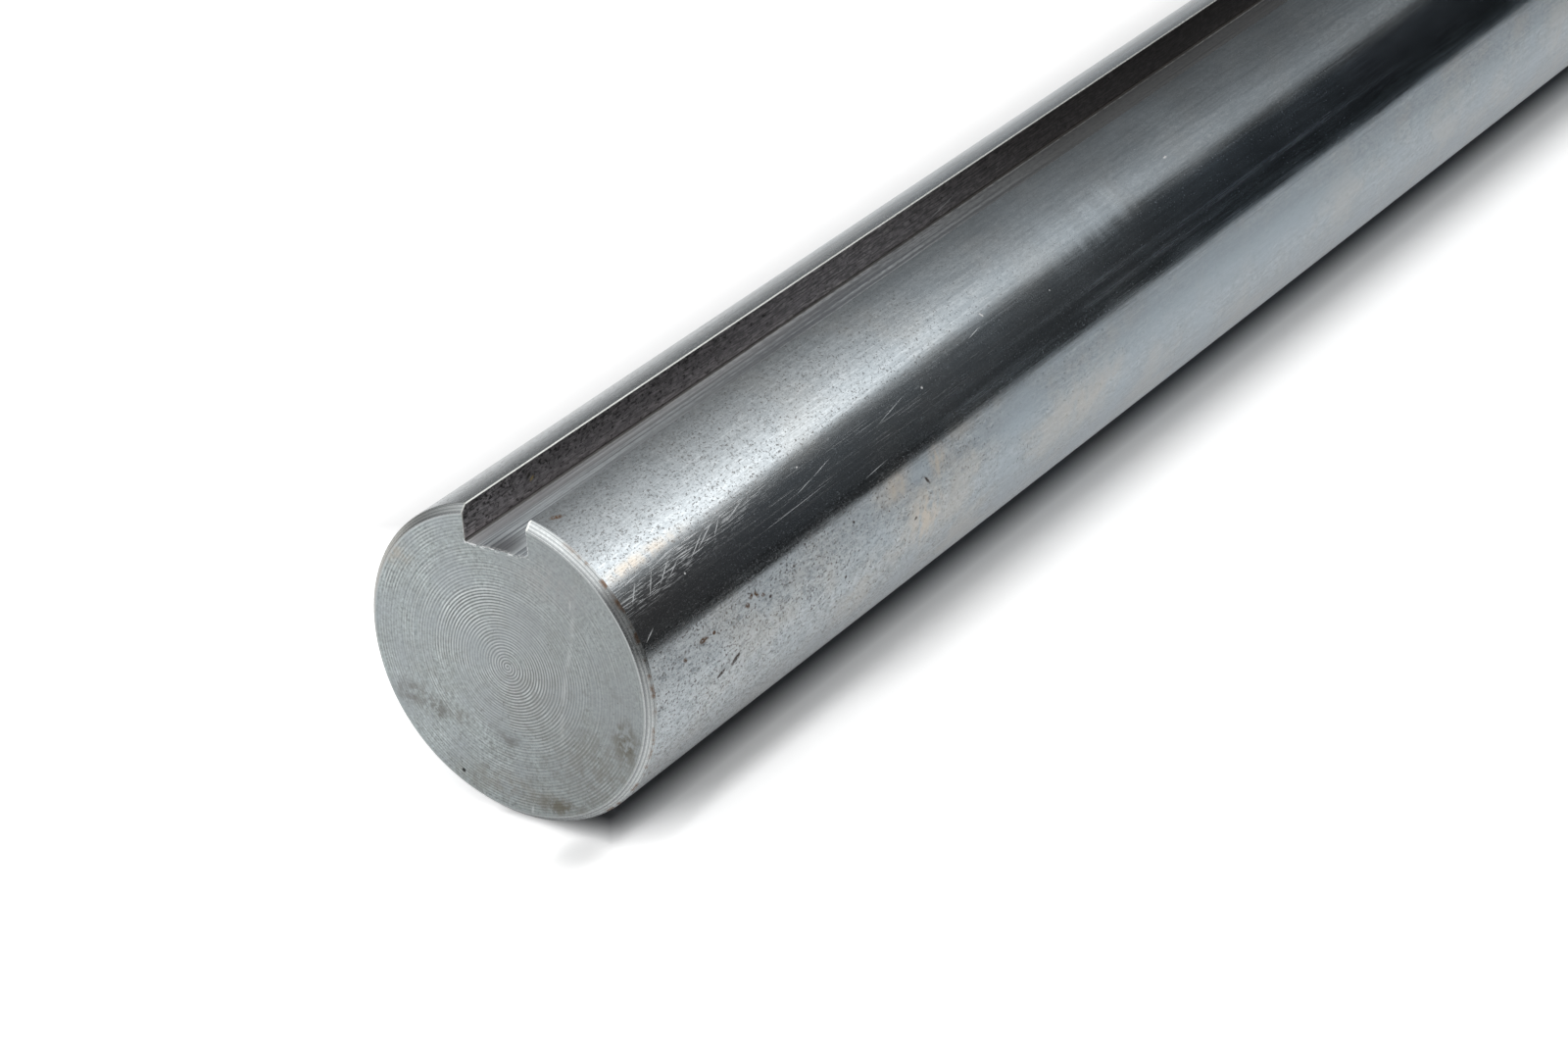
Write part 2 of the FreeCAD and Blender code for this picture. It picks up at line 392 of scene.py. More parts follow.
# Pits, thickest on the first inch or so, and a frosting of finer ones that only dull it
near_end = drawn.ramp(from_near, (0, 0.065), (14, 0.058), (34, 0.040), (60, 0.024), (90, 0.012),
                      (BAR_END, 0.005))
crowding = drawn.plus(near_end, drawn.ramp(drawn.noise(place, 2 * MM, 2), (0.3, -0.03), (0.7, 0.03)))
specks = drawn.noise(place, 0.2 * MM, 4, stretch=(1.3, 1, 1), broken=0.65)
pits = drawn.ramp(drawn.plus(specks, crowding), (0.62, 0), (0.70, 1))
pits = drawn.times(pits, drawn.ramp(from_near, (0, 0.85), (45, 1.0), (90, 0.7), (BAR_END, 0.5)))
pitted = drawn.ramp(from_top, (14, 0.66), (20, 0.88), (40, 0.88))
steel = drawn.blend(drawn.times(pits, pitted), steel, PIT)
frosting = drawn.noise(place, 0.18 * MM, 3, stretch=(4.5, 1, 1), broken=0.65)
frosting = drawn.ramp(drawn.plus(frosting, drawn.times(near_end, 0.6)), (0.62, 0), (0.73, 1))
frosted = drawn.ramp(from_near, (0, 0.8), (12, 1.0), (45, 0.8), (70, 0.1), (BAR_END, 0.0))
frosting = drawn.times(frosting, frosted)

# A film of straw and blue by turns, strongest low down, and blue alone over the far part
film = drawn.noise(unrolled, 7 * MM, 5, stretch=(1.2, 1, 1), broken=0.62)
filmed = drawn.times(drawn.ramp(from_near, (0, 0.1), (30, 0.4), (50, 0.6), (BAR_END, 0.6)),
                     drawn.ramp(from_top, (0, 0.25), (17, 0.35), (19, 1.0), (45, 1.0)))
straw = drawn.ramp(film, (0.50, 0), (0.62, 0.9))
steel = drawn.blend(drawn.times(straw, filmed), steel, TAN_TINT)
blue = drawn.ramp(film, (0.38, 0.9), (0.50, 0))
steel = drawn.blend(drawn.times(blue, filmed), steel, BLUE_TINT)
far_part = drawn.ramp(from_near, (35, 0), (75, 0.4), (BAR_END, 0.4))
steel = drawn.blend(far_part, steel, FAR_TINT)

# A painted dark reflection band along the bar, grey near the end and blue further on
painted_dark_band = drawn.spot(unrolled, on_round(120, 61), (180 * MM, 3.7 * MM), edge=0.35)
darkened = drawn.ramp(from_near, (0, 1.0), (20, 0.95), (38, 0.35), (75, 0.2), (95, 0.8), (BAR_END, 0.8))
bluer = drawn.ramp(from_near, (4, 0), (45, 1), (BAR_END, 1))
steel = drawn.blend(drawn.times(painted_dark_band, darkened), steel, drawn.blend(bluer, PAINTED_BAND_GREY, PAINTED_BAND_BLUE))

# Stains, tan and blue by turns, then rust and dark specks, and the bright ticks
patchy = drawn.noise(unrolled, 0.9 * MM, 5, stretch=(1, 2.2, 1), broken=0.65)
patchy = drawn.ramp(patchy, (0.36, 0), (0.56, 1))
tan_stains = drawn.most(marks(TAN_STAINS, edge=0.9), drawn.times(marks(FAINT_STAINS, edge=0.9), 0.3))
steel = drawn.blend(drawn.times(tan_stains, patchy), steel, TAN_STAIN)
steel = drawn.blend(drawn.times(marks(BLUE_STAINS, edge=0.9), 0.7), steel, BLUE_TINT)
ragged = drawn.ramp(drawn.noise(place, 0.15 * MM, 4, broken=0.7), (0.38, 0), (0.50, 1))
rust = drawn.times(marks(RUST_SPECKS, SPECKS_GROW), ragged)
steel = drawn.blend(rust, steel, RUST)
dark = drawn.times(marks(DARK_SPECKS, SPECKS_GROW), ragged)
steel = drawn.blend(dark, steel, PIT)
ticks = marks(WHITE_TICKS)
steel = drawn.blend(ticks, steel, TICK)

# Scratches one by one, a scuffed patch beside the near chamfer, and hairlines along the band
scuffs = []
for turn, size in ((38, 0.10), (24, 0.09), (10, 0.08)):
    streaks = drawn.noise(unrolled, size * MM, 1, stretch=(26, 1, 1), turn=turn)
    scuffs.append(drawn.ramp(streaks, (0.61, 0), (0.68, 1)))
scuffed = drawn.spot(unrolled, on_round(6.0, 53), (26 * MM, 2.7 * MM), -3, 0.8)
scuffs = drawn.times(drawn.most(*scuffs), scuffed)
hairlines = drawn.noise(unrolled, 0.13 * MM, 3, stretch=(70, 1, 1), turn=6, broken=0.7)
handled = drawn.spot(unrolled, on_round(34.0, 58), (46 * MM, 3.4 * MM))
hairlines = drawn.times(drawn.ramp(hairlines, (0.52, 0), (0.66, 0.62)), handled)
scratches = drawn.most(marks(SCRATCHES, edge=0.8), scuffs, hairlines)
soft_lines = marks(SOFT_LINES, edge=0.9)

# Bands of duller metal round the bar, further along it
bands = drawn.noise(place, 1.6 * MM, 4, stretch=(1, 6, 6), broken=0.6)
banded = drawn.spot(unrolled, on_round(76, 41), (17 * MM, 3.6 * MM))
dull = drawn.times(drawn.ramp(bands, (0.42, 0), (0.66, 1)), banded)

# How dull each place is, clear steel least and marks and scratches most, and the relief
clouds = drawn.noise(place, 5 * MM, 4, stretch=(2.5, 1, 1))
roughness = drawn.plus(
    drawn.ramp(die_lines, (0.35, 0.08), (0.65, 0.17)),
    drawn.ramp(clouds, (0.35, 0.0), (0.65, 0.05)),
    drawn.times(dull, 0.12),
    drawn.times(frosting, 0.15),
    drawn.times(soft_lines, 0.085),
    drawn.ramp(from_near, (30, 0), (60, 0.03), (130, 0.015), (BAR_END, 0.015)))
rough_marks = drawn.most(scratches, rust, dark, ticks, drawn.times(pits, 0.6))
roughness = drawn.most(roughness, drawn.times(rough_marks, 0.68))
steel = drawn.blend(drawn.times(scratches, 0.8), steel, SCRATCH)
height = drawn.math("SUBTRACT", die_lines, drawn.times(pits, 0.8))
drawn.surface(Metallic=1.0, Base_Color=steel, Roughness=roughness,
              Normal=drawn.relief((clouds, 0.02 * MM), (height, 0.0012 * MM)))
shaft.data.materials.append(drawn.owner)


# The end faces are turned: a fine feed mark winds out from the centre, clearest over the
# middle. The near one is lightly stained towards its foot, and burred below the keyway.
FEED = 0.27 * MM
FACE_RADIUS = SHAFT_RADIUS - END_CHAMFER
RING_CONTRAST = 3.6
FACE_STEEL = (0.61, 0.683, 0.692, 1)
FACE_GRAIN = (0.235, 0.255, 0.255, 1)
RING_BRIGHT = (0.85, 0.88, 0.88, 1)
RING_DARK = (0.15, 0.165, 0.17, 1)
FACE_CLOUD = (0.32, 0.345, 0.34, 1)
FACE_BLUE = (0.40, 0.435, 0.46, 1)
FACE_PAINTED_SHADE = (0.27, 0.285, 0.285, 1)
OLIVE = (0.20, 0.205, 0.185, 1)
FACE_PIT = (0.10, 0.09, 0.08, 1)
FACE_DOT = (0.05, 0.05, 0.05, 1)
FACE_SCRATCH_AND_HIGHLIGHT = (0.80, 0.82, 0.82, 1)

# Stains as ((across, up), half sizes, colour, strength), the lengths as shares of the radius
FACE_STAINS = [((-0.80, -0.28), (0.13, 0.22), (0.13, 0.115, 0.085, 1), 0.95),
               ((-0.62, -0.50), (0.50, 0.42), (0.24, 0.24, 0.22, 1), 0.7),
               ((-0.30, -0.84), (0.30, 0.10), (0.15, 0.135, 0.10, 1), 0.85),
               ((0.72, -0.36), (0.24, 0.14), (0.18, 0.175, 0.16, 1), 0.75),
               ((0.54, -0.42), (0.14, 0.12), (0.16, 0.155, 0.14, 1), 0.7),
               ((0.38, -0.42), (0.14, 0.10), (0.22, 0.21, 0.19, 1), 0.55),
               ((0.03, -0.49), (0.12, 0.08), (0.18, 0.18, 0.17, 1), 0.7),
               ((-0.12, -0.15), (0.42, 0.34), (0.28, 0.285, 0.28, 1), 0.45),
               ((0.52, -0.20), (0.36, 0.34), (0.32, 0.33, 0.32, 1), 0.35),
               ((0.10, -0.80), (0.60, 0.16), (0.28, 0.265, 0.23, 1), 0.5),
               ((-0.35, 0.62), (0.40, 0.20), (0.40, 0.39, 0.39, 1), 0.4),
               ((0.75, 0.55), (0.18, 0.12), (0.50, 0.45, 0.38, 1), 0.5)]

# One long curved scratch down the right, a short tick at the foot and one higher up, each
# piece as ((across, up), half sizes, turn, strength)
FACE_SCRATCHES = [((-0.492, 0.387), (0.18, 0.026), 100.5, 0.15), ((-0.443, 0.160), (0.15, 0.026), 104, 0.17),
                  ((-0.395, -0.048), (0.17, 0.028), 102, 0.19), ((-0.355, -0.290), (0.18, 0.028), 97, 0.15),
                  ((-0.086, -0.914), (0.045, 0.012), 100, 0.5), ((-0.49, 0.52), (0.05, 0.012), 95, 0.3)]

face = Finish(bpy.data.materials.new("turned_face"))
place = face.add("ShaderNodeTexCoord").outputs["Object"]
along, across, up = face.add("ShaderNodeSeparateXYZ", Vector=place).outputs
outwards = face.length(across, up)
side = face.times(across, 1 / SHAFT_RADIUS)
rise = face.times(up, 1 / SHAFT_RADIUS)
flat = face.add("ShaderNodeCombineXYZ", X=side, Y=rise).outputs["Vector"]

# Rings: the winding feed mark, weaker outwards and along one diameter, and finer ones in it
centre_line = face.add("ShaderNodeCombineXYZ", X=outwards).outputs["Vector"]
around = face.math("ARCTAN2", across, up)
turns = face.plus(face.times(outwards, 2 * math.pi / FEED),
                  face.times(face.noise(centre_line, 0.8 * MM, 2), 4.0), around)
rings = face.ramp(face.math("SINE", turns), (-1, 0), (1, 1))
fine_rings = face.noise(centre_line, 0.16 * MM, 3, broken=0.7)
clearest = face.math("ABSOLUTE", face.math("SINE", face.plus(around, 0.8)))
strength = face.times(
    face.ramp(face.times(outwards, 1 / SHAFT_RADIUS), (0, 1.3), (0.35, 0.85), (0.55, 0.32), (1, 0.24)),
    face.ramp(face.noise(place, 2.6 * MM, 2), (0.35, 0.35), (0.6, 1.0)),
    face.ramp(clearest, (0, 0.35), (1, 1.0)))
worn = face.times(face.spot(flat, (-0.50, -0.55), (0.42, 0.22), 42, 0.6), 0.45)
ring_mark = face.times(face.math("SUBTRACT", rings, 0.5), face.most(strength, worn))
ring_mark = face.plus(ring_mark, face.times(face.math("SUBTRACT", fine_rings, 0.5), 0.95))

# The steel, its grain and rings, and painted shade over the side away from the light
grain = face.noise(place, 0.33 * MM, 5, broken=0.80)
steel = face.blend(face.ramp(grain, (0.36, 0), (0.64, 0.95)), FACE_STEEL, FACE_GRAIN)
steel = face.blend(face.most(face.times(ring_mark, RING_CONTRAST), 0.0), steel, RING_BRIGHT)
steel = face.blend(face.most(face.times(ring_mark, -RING_CONTRAST), 0.0), steel, RING_DARK)
clouds = face.ramp(face.noise(place, 3.0 * MM, 5, broken=0.6), (0.38, 0.0), (0.62, 0.30))
steel = face.blend(clouds, steel, FACE_CLOUD)
bluish = face.ramp(face.noise(place, 4.5 * MM, 3, broken=0.6), (0.45, 0.0), (0.6, 0.5))
steel = face.blend(bluish, steel, FACE_BLUE)
# Painted shade, darkest over the face's right side
painted_shade_side = face.ramp(side, (-1, 0.56), (-0.3, 0.48), (0.4, 0.06), (1, 0.0))
steel = face.blend(painted_shade_side, steel, FACE_PAINTED_SHADE)

# Dark olive mottling, mostly low down and to the right
mottling = face.ramp(face.noise(place, 1.1 * MM, 8, broken=0.76), (0.50, 0), (0.63, 0.62))
lowness = face.ramp(face.plus(rise, face.times(side, 0.45)), (-1, 0.8), (-0.35, 0.55), (0.3, 0.25), (1, 0.2))
steel = face.blend(face.times(mottling, lowness), steel, OLIVE)

# Stains, pits that thicken towards the foot, and one dark dot
patchy = face.ramp(face.noise(place, 0.9 * MM, 5, broken=0.65), (0.42, 0.1), (0.56, 1))
for centre, size, colour, share in FACE_STAINS:
    stain = face.times(face.spot(flat, centre, size, edge=0.95), patchy, share)
    steel = face.blend(stain, steel, colour)
low_down = face.ramp(rise, (-1, 0.035), (0.2, 0.0))
specks = face.noise(place, 0.24 * MM, 4, broken=0.65)
pits = face.ramp(face.plus(specks, low_down), (0.63, 0), (0.70, 1))
steel = face.blend(face.times(pits, 0.7), steel, FACE_PIT)
dot = face.spot(flat, (0.4, -0.786), (0.0175, 0.0175), edge=0.5)
steel = face.blend(dot, steel, FACE_DOT)

# The scratches, the burrs below the keyway and a painted highlight round the rim along the chamfer
scratches = []
for centre, size, turn, share in FACE_SCRATCHES:
    scratches.append(face.times(face.spot(flat, centre, size, turn, 0.95), share))
burr_noise = face.noise(place, 0.17 * MM, 2, stretch=(1, 1.8, 1))
beside = face.ramp(face.math("ABSOLUTE", across), (KEY_WIDTH / 2, 1), (KEY_WIDTH / 2 + 0.12 * MM, 0))
below = face.ramp(up, (KEYWAY_FLOOR - 0.34 * MM, 0), (KEYWAY_FLOOR - 0.05 * MM, 1))
burr = face.times(beside, below, face.ramp(burr_noise, (0.50, 0.0), (0.58, 1)))
# A painted highlight round the face's rim, where it meets the chamfer
painted_rim_highlight = face.ramp(outwards, (FACE_RADIUS - 0.20 * MM, 0), (FACE_RADIUS - 0.05 * MM, 0.5))
painted_rim_highlight = face.times(painted_rim_highlight, face.ramp(grain, (0.4, 0.3), (0.6, 1.0)))
steel = face.blend(face.most(*scratches, burr, painted_rim_highlight), steel, FACE_SCRATCH_AND_HIGHLIGHT)

roughness = face.ramp(grain, (0.3, 0.30), (0.7, 0.42))
height = face.plus(ring_mark, face.times(fine_rings, 0.25), face.times(pits, -0.6))
face.surface(Metallic=1.0, Base_Color=steel, Roughness=roughness, Normal=face.relief((height, 0.006 * MM)))
shaft.data.materials.append(face.owner)


# The chamfers are turned too, with a few coarse rings, and a little rust has started where
# the near one meets the round. The break along the keyway's top edges has the same finish.
CHAMFER_DARK = (0.34, 0.365, 0.37, 1)
CHAMFER_LIGHT = (0.66, 0.685, 0.685, 1)
CHAMFER_GRAIN = (0.34, 0.35, 0.35, 1)
CHAMFER_STRAW = (0.50, 0.46, 0.38, 1)
CHAMFER_PAINTED_SHADE = (0.17, 0.17, 0.17, 1)
CHAMFER_LINE = (0.16, 0.17, 0.18, 1)
CHAMFER_RUST = (0.20, 0.13, 0.09, 1)
CHAMFER_BURR = (0.86, 0.87, 0.82, 1)

chamfer = Finish(bpy.data.materials.new("turned_chamfer"))
place = chamfer.add("ShaderNodeTexCoord").outputs["Object"]
along, across, up = chamfer.add("ShaderNodeSeparateXYZ", Vector=place).outputs
outwards = chamfer.length(across, up)
side = chamfer.times(across, 1 / SHAFT_RADIUS)
rise = chamfer.times(up, 1 / SHAFT_RADIUS)
flat = chamfer.add("ShaderNodeCombineXYZ", X=side, Y=rise).outputs["Vector"]
ring_line = chamfer.add("ShaderNodeCombineXYZ", X=along, Y=outwards).outputs["Vector"]
rings = chamfer.noise(ring_line, 0.11 * MM, 2)
grain = chamfer.noise(place, 0.2 * MM, 3)
steel = chamfer.blend(chamfer.ramp(rings, (0.36, 0), (0.64, 1)), CHAMFER_DARK, CHAMFER_LIGHT)
steel = chamfer.blend(chamfer.ramp(grain, (0.4, 0), (0.7, 0.35)), steel, CHAMFER_GRAIN)
steel = chamfer.blend(chamfer.ramp(side, (0.45, 0), (0.8, 0.4)), steel, CHAMFER_STRAW)
# A painted dark reflection high on the camera's side of the chamfer, in line with the dark band along the
# round
painted_dark_patch = chamfer.times(chamfer.spot(flat, (-0.79, 0.62), (0.17, 0.17)), 0.62)
steel = chamfer.blend(painted_dark_patch, steel, CHAMFER_PAINTED_SHADE)

# A dark line round the inner edge, rust along part of the outer one, burrs by the keyway
inner_edge = chamfer.ramp(outwards, (FACE_RADIUS + 0.03 * MM, 0.0), (FACE_RADIUS + 0.06 * MM, 0.55),
                          (FACE_RADIUS + 0.12 * MM, 0.55), (FACE_RADIUS + 0.18 * MM, 0.0))
steel = chamfer.blend(inner_edge, steel, CHAMFER_LINE)
outer_edge = chamfer.ramp(outwards, (SHAFT_RADIUS - 0.28 * MM, 0), (SHAFT_RADIUS - 0.1 * MM, 1))
patches = chamfer.ramp(chamfer.noise(place, 1.2 * MM, 3), (0.48, 0), (0.6, 0.9))
right_side = chamfer.ramp(side, (-0.9, 1), (-0.6, 1), (-0.4, 0))
steel = chamfer.blend(chamfer.times(outer_edge, patches, right_side), steel, CHAMFER_RUST)
beside = chamfer.ramp(chamfer.math("ABSOLUTE", across), (KEY_WIDTH / 2 + 0.14 * MM, 0.6),
                      (KEY_WIDTH / 2 + 0.20 * MM, 0))
upper_half = chamfer.ramp(up, (0.0, 0.0), (MM, 1.0))
steel = chamfer.blend(chamfer.times(beside, upper_half), steel, CHAMFER_BURR)
chamfer.surface(Metallic=1.0, Base_Color=steel, Roughness=chamfer.ramp(grain, (0.3, 0.20), (0.7, 0.34)),
                Normal=chamfer.relief((rings, 0.010 * MM)))
shaft.data.materials.append(chamfer.owner)


# The keyway's floor is milled steel, with strong tool lines along it and burrs at its front
# edge. It is bright near the end, and dirt has darkened it further in.
BED_DARK = (0.34, 0.37, 0.40, 1)
BED_LIGHT = (0.90, 0.96, 0.98, 1)
BED_GRAIN = (0.25, 0.26, 0.28, 1)
BED_DIRT = (0.14, 0.14, 0.14, 1)
BED_PAINTED_LIGHT = (1.0, 1.0, 1.0, 1)
BED_SMUDGE_AND_SHADE = (0.16, 0.16, 0.17, 1)
BED_BURR = (0.85, 0.86, 0.86, 1)
BED_CORNER = (0.05, 0.045, 0.04, 1)
BED_LINE = (0.95, 0.96, 0.94, 1)

bed = Finish(bpy.data.materials.new("milled_floor"))
place = bed.add("ShaderNodeTexCoord").outputs["Object"]
along, across, up = bed.add("ShaderNodeSeparateXYZ", Vector=place).outputs
from_near = bed.math("MULTIPLY_ADD", along, 1 / MM, SHAFT_HALF / MM)
from_wall = bed.math("MULTIPLY_ADD", bed.math("ABSOLUTE", across), -1 / MM, KEY_WIDTH / 2 / MM)
fine_lines = bed.noise(place, 0.17 * MM, 3, stretch=(160, 1, 1), broken=0.7)
broad_lines = bed.noise(place, 0.40 * MM, 2, stretch=(100, 1, 1))
tool_lines = bed.times(bed.plus(fine_lines, broad_lines), 0.5)
grain = bed.noise(place, 0.3 * MM, 4, stretch=(3, 1, 1), broken=0.7)
steel = bed.blend(bed.ramp(tool_lines, (0.43, 0), (0.56, 1)), BED_DARK, BED_LIGHT)
further = bed.ramp(from_near, (0, 0.2), (14, 0.45), (45, 1.0), (BAR_END, 1.0))
steel = bed.blend(bed.times(bed.ramp(grain, (0.45, 0), (0.65, 0.7)), further), steel, BED_GRAIN)

# Dirt further in, a painted strip of light along the left wall, a smudge near the end and painted shade at
# the front
dirt = bed.ramp(from_near, (0, 0), (20, 0.18), (60, 0.29), (90, 0.86), (BAR_END - 40, 0.94),
                (BAR_END, 0.3))
steel = bed.blend(dirt, steel, BED_DIRT)
# A painted strip of light along the left side of the floor, fading out further in
painted_light_strip = bed.times(bed.ramp(across, (1.5 * MM, 0), (2.4 * MM, 0.55)), bed.ramp(from_near, (0, 1), (60, 0)))
steel = bed.blend(painted_light_strip, steel, BED_PAINTED_LIGHT)
smudge_and_painted_shade = bed.spot(place, (30 * MM - SHAFT_HALF, 0.6 * MM), (28 * MM, 1.5 * MM))
steel = bed.blend(bed.times(smudge_and_painted_shade, 0.4), steel, BED_SMUDGE_AND_SHADE)
# Painted shade over the front of the floor, towards the right wall that shades it
smudge_and_painted_shade = bed.spot(place, (0.3 * MM - SHAFT_HALF, -0.3 * MM), (4.6 * MM, 2.3 * MM))
steel = bed.blend(bed.times(smudge_and_painted_shade, 0.85), steel, BED_SMUDGE_AND_SHADE)

# Burrs at the front edge, dark corners, and a bright line beside each of them
front = bed.ramp(from_near, (0, 1), (0.35, 0))
burrs = bed.times(front, bed.ramp(bed.noise(place, 0.2 * MM, 2), (0.45, 0), (0.55, 1)))
steel = bed.blend(burrs, steel, BED_BURR)
steel = bed.blend(bed.ramp(from_wall, (0.12, 0.9), (0.22, 0)), steel, BED_CORNER)
edge_line = bed.ramp(from_wall, (0.20, 0), (0.28, 0.6), (0.34, 0.6), (0.42, 0))
edge_line = bed.times(edge_line, bed.ramp(grain, (0.4, 1.0), (0.6, 0.2)))
steel = bed.blend(edge_line, steel, BED_LINE)
bed.surface(Metallic=1.0, Base_Color=steel, Roughness=bed.ramp(grain, (0.3, 0.48), (0.7, 0.62)),
            Normal=bed.relief((tool_lines, 0.03 * MM)))
shaft.data.materials.append(bed.owner)


# The keyway's walls are milled as well. They have darkened to a brownish grey, pitted black
# in places, and the cutter's marks slant a little along them.
WALL_DARK = (0.155, 0.141, 0.144, 1)
WALL_LIGHT = (0.50, 0.458, 0.464, 1)
WALL_MOTTLE = (0.13, 0.117, 0.12, 1)
WALL_SHADE = (0.10, 0.088, 0.09, 1)
WALL_PIT = (0.03, 0.027, 0.025, 1)
DEEP_PIT = (0.015, 0.013, 0.012, 1)
WALL_DIRT = (0.05, 0.047, 0.046, 1)
WALL_BLACK = (0.03, 0.027, 0.02, 1)
WALL_RUST = (0.30, 0.22, 0.09, 1)
WALL_SCRAPE = (0.8, 0.8, 0.8, 1)
WALL_CORNER = (0.03, 0.025, 0.02, 1)
WALL_FRONT = (0.62, 0.58, 0.52, 1)
SLANT = 14


def on_wall(millimetres, height):
    """A place on a wall, from its mm along from the near end and its mm above the floor."""
    return millimetres * MM - SHAFT_HALF, KEYWAY_FLOOR + height * MM


wall = Finish(bpy.data.materials.new("milled_walls"))
place = wall.add("ShaderNodeTexCoord").outputs["Object"]
along, across, up = wall.add("ShaderNodeSeparateXYZ", Vector=place).outputs
side_on = wall.add("ShaderNodeCombineXYZ", X=along, Y=up).outputs["Vector"]
from_near = wall.math("MULTIPLY_ADD", along, 1 / MM, SHAFT_HALF / MM)
from_floor = wall.math("MULTIPLY_ADD", up, 1 / MM, -KEYWAY_FLOOR / MM)
streaks = wall.noise(side_on, 0.15 * MM, 3, stretch=(14, 1, 1), turn=11)
grain = wall.noise(side_on, 0.34 * MM, 5, stretch=(1.9, 1, 1), turn=SLANT, broken=0.74)
steel = wall.blend(wall.ramp(streaks, (0.38, 0), (0.62, 1)), WALL_DARK, WALL_LIGHT)
mottling = wall.noise(side_on, 0.6 * MM, 5, stretch=(1.6, 1, 1), turn=SLANT, broken=0.78)
steel = wall.blend(wall.ramp(mottling, (0.42, 0), (0.60, 0.75)), steel, WALL_MOTTLE)
darker = wall.ramp(from_near, (0, 0.12), (11, 0.56), (30, 0.44), (50, 0.0), (BAR_END, 0.0))
steel = wall.blend(darker, steel, WALL_SHADE)

# Black pits, thickest along the top near the end, and dirt further in
near_top = wall.times(wall.ramp(from_floor, (0, 0.02), (KEYWAY_DEPTH / MM, 0.095)),
                      wall.ramp(from_near, (0, 1), (32, 0.8), (45, 0)))
pits = wall.ramp(wall.plus(grain, near_top), (0.57, 0), (0.64, 1))
steel = wall.blend(wall.times(pits, 0.85), steel, WALL_PIT)
deep_pits = wall.noise(side_on, 0.55 * MM, 3, stretch=(1.5, 1, 1), turn=SLANT, broken=0.6)
deep_pits = wall.ramp(wall.plus(deep_pits, wall.times(near_top, 0.9)), (0.66, 0), (0.70, 0.9))
steel = wall.blend(deep_pits, steel, DEEP_PIT)
dirt = wall.ramp(from_near, (62, 0.0), (86, 0.5), (115, 0.75), (BAR_END - 30, 0.6), (BAR_END, 0.1))
steel = wall.blend(dirt, steel, WALL_DIRT)

# A black patch with rust beside it, a bright scrape, the dark corner and the bright front edge
steel = wall.blend(wall.spot(side_on, on_wall(8.8, 1.8875), (0.6 * MM, 0.3 * MM), 40, 0.8), steel, WALL_BLACK)
steel = wall.blend(wall.spot(side_on, on_wall(9.2, 1.4875), (0.45 * MM, 0.22 * MM), 30), steel, WALL_RUST)
scrape = wall.spot(side_on, on_wall(71.5, 0.9), (3.6 * MM, 0.07 * MM), 10)
steel = wall.blend(wall.times(scrape, 0.7), steel, WALL_SCRAPE)
steel = wall.blend(wall.ramp(from_floor, (0.08, 1), (0.24, 0)), steel, WALL_CORNER)
steel = wall.blend(wall.ramp(from_near, (0, 0.8), (0.16, 0)), steel, WALL_FRONT)
wall.surface(Metallic=1.0, Base_Color=steel, Roughness=wall.ramp(streaks, (0.35, 0.34), (0.65, 0.48)),
             Normal=wall.relief((streaks, 0.008 * MM), (pits, -0.01 * MM)))
shaft.data.materials.append(wall.owner)

# Each surface gets its finish, told apart by where it lies and which way it faces
DRAWN, FACE, CHAMFER, BED, WALL = range(5)
BREAK_FROM = WALL_TOP - 1.2 * TOP_BREAK
SLOPING = 0.2
LEVEL = 0.5
for polygon in shaft.data.polygons:
    centre, outward = polygon.center, polygon.normal
    in_keyway = abs(centre.y) < KEY_WIDTH / 2 + TOP_BREAK and centre.z < WALL_TOP + CLOSE
    if abs(outward.x) > SQUARE_ON:
        polygon.material_index = FACE
    elif abs(outward.x) > SLOPING:
        polygon.material_index = CHAMFER
    elif in_keyway and centre.z > BREAK_FROM:
        polygon.material_index = CHAMFER
    elif in_keyway and centre.z > KEYWAY_FLOOR - CLOSE:
        polygon.material_index = BED if outward.z > LEVEL else WALL
    else:
        polygon.material_index = DRAWN


# The floor is a wide sheet of matt white paper. Seen by the camera it is pure white away from the shaft, and
# close to the shaft it keeps its own shade and the shaft's shadow, with painted shadow and shade added there.
FLOOR_SIZE = 12.0
WHITE = (1, 1, 1, 1)
PAINTED_SHADOW = (0.16, 0.16, 0.17, 1)

bpy.ops.object.select_all(action="DESELECT")
bpy.ops.mesh.primitive_plane_add(size=FLOOR_SIZE, location=(0, 0, low.z))
floor = bpy.context.object
floor.name = "floor"
bpy.ops.object.transform_apply(location=True, rotation=True, scale=True)
paper = Finish(bpy.data.materials.new("white_paper"))
floor_place = paper.add("ShaderNodeTexCoord").outputs["Object"]
floor_along, floor_across, floor_up = paper.add("ShaderNodeSeparateXYZ", Vector=floor_place).outputs
sight = paper.add("ShaderNodeLightPath").outputs

# Where a place on the paper lies, in mm: sideways counts up behind the shaft, down before it
sideways = paper.times(floor_across, 1 / MM)
beside = paper.math("ABSOLUTE", sideways)
from_end = paper.math("MULTIPLY_ADD", paper.math("ABSOLUTE", floor_along), 1 / MM, -SHAFT_HALF / MM)
from_near = paper.math("MULTIPLY_ADD", floor_along, 1 / MM, SHAFT_HALF / MM)
beyond = paper.ramp(from_end, (-3.6, 0), (0.6, 1))
by_ends = paper.ramp(from_end, (-40, 0), (-24, 1))

